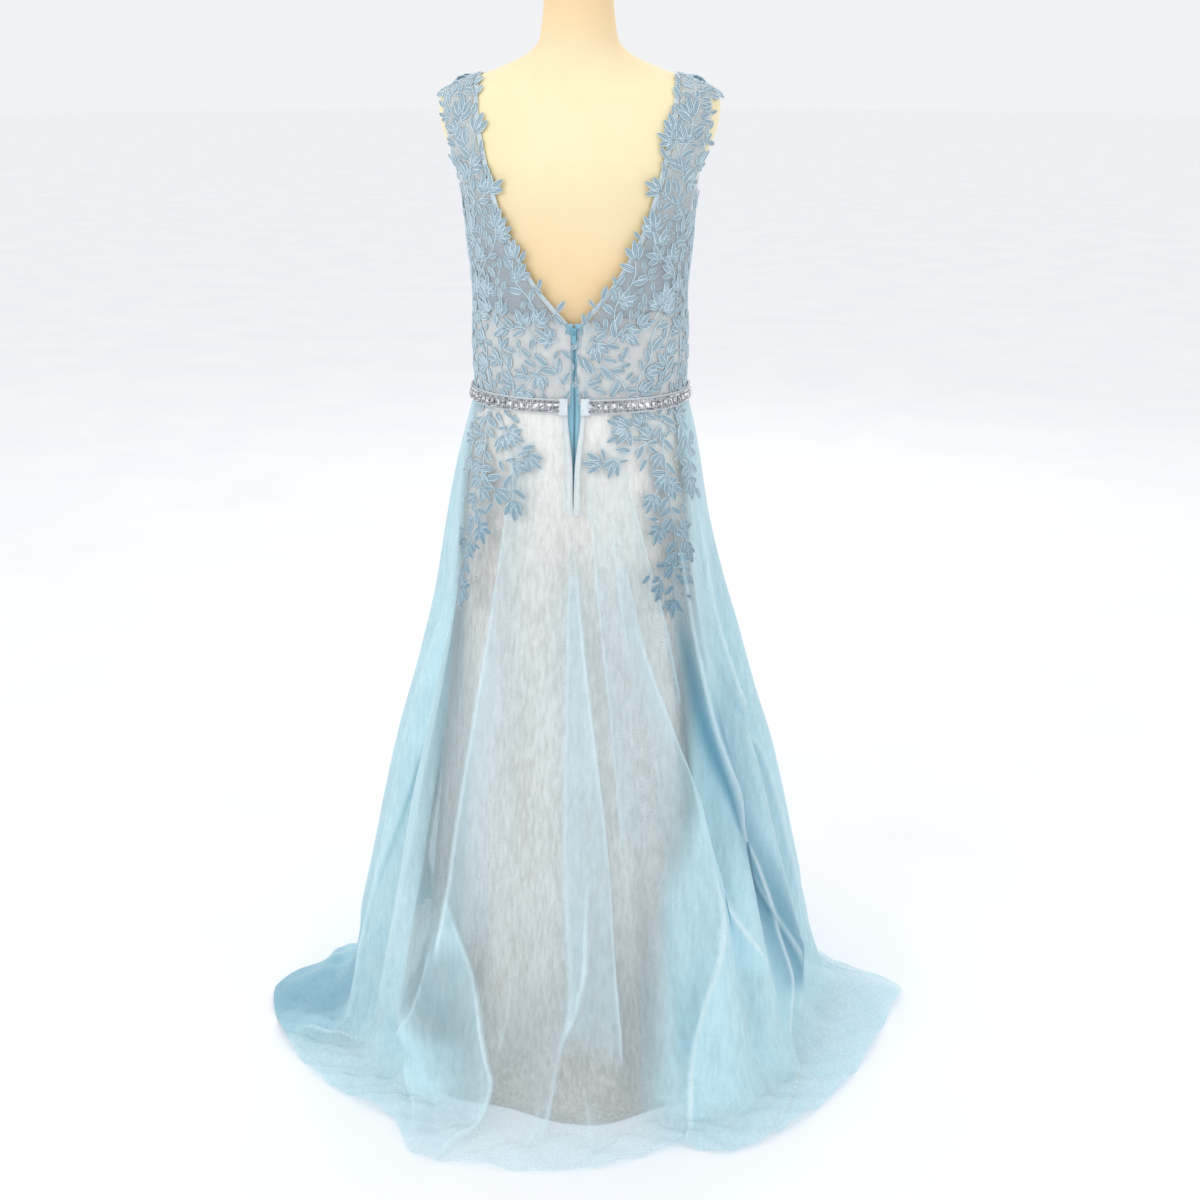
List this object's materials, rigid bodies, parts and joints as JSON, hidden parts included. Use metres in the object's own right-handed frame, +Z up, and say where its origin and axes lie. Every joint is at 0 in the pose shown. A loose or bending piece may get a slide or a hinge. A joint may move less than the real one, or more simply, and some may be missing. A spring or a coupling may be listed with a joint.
{
  "type": "prom dress on a dress form",
  "caption": "Floor-length A-line dress with an open V back, sheer leaf-embroidered bodice, stone belt and net overskirt, on a limbless dress form.",
  "frame": {"origin": "on the floor, at the centre of the dress form's foot", "axes": "+Z up, +Y the way the wearer faces, so the open back is towards -Y; +X the wearer's right"},
  "size_m": [1.0693, 0.855, 1.6],
  "materials": {
    "net": "sheer net, matt",
    "tulle": "soft net, matt",
    "satin": "satin, soft sheen",
    "facing": "satin, soft sheen",
    "lace": "corded embroidery, soft sheen",
    "stones": "clear cut stones in silver settings",
    "ribbon": "satin ribbon",
    "zip": "satin paint",
    "tape": "woven tape",
    "form": "jersey cover, matt",
    "steel": "brushed"
  },
  "bodies": {
    "dress": {"form_torso": "form", "form_pole": "steel", "form_foot": "steel", "bodice_back_left": "net", "bodice_back_right": "net", "bodice_front_left": "net", "bodice_front_right": "net", "bodice_lining_back_left": "satin", "bodice_lining_back_right": "satin", "bodice_lining_front": "satin", "neck_facing_back_left": "facing", "neck_facing_back_right": "facing", "neck_facing_front_left": "facing", "neck_facing_front_right": "facing", "overskirt_back_left": "tulle", "overskirt_back_right": "tulle", "overskirt_front": "tulle", "skirt_lining_back_left": "satin", "skirt_lining_back_right": "satin", "skirt_lining_front": "satin", "leaves_back_left": "lace", "leaves_back_right": "lace", "leaves_back_strap_left": "lace", "leaves_back_strap_right": "lace", "leaves_front_left": "lace", "leaves_front_right": "lace", "leaves_front_strap_left": "lace", "leaves_front_strap_right": "lace", "leaves_skirt_back_left": "lace", "leaves_skirt_back_right": "lace", "leaves_skirt_front_left": "lace", "leaves_skirt_front_right": "lace", "belt_ribbon": "ribbon", "belt_stones": "stones", "zip_tape_left": "tape", "zip_tape_right": "tape", "zip_chain": "zip", "zip_placket_left": "facing", "zip_placket_right": "facing", "zip_slider": "zip"},
    "pull_tab": {"zip_pull_tab": "zip"}
  },
  "joints": [
    {"name": "pull_tab_swing", "type": "hinge", "parent": "dress", "child": "pull_tab", "pos_m": [0, -0.11723, 1.147], "axis": [-1, 0, 0], "range_deg": [0, 170]}
  ]
}
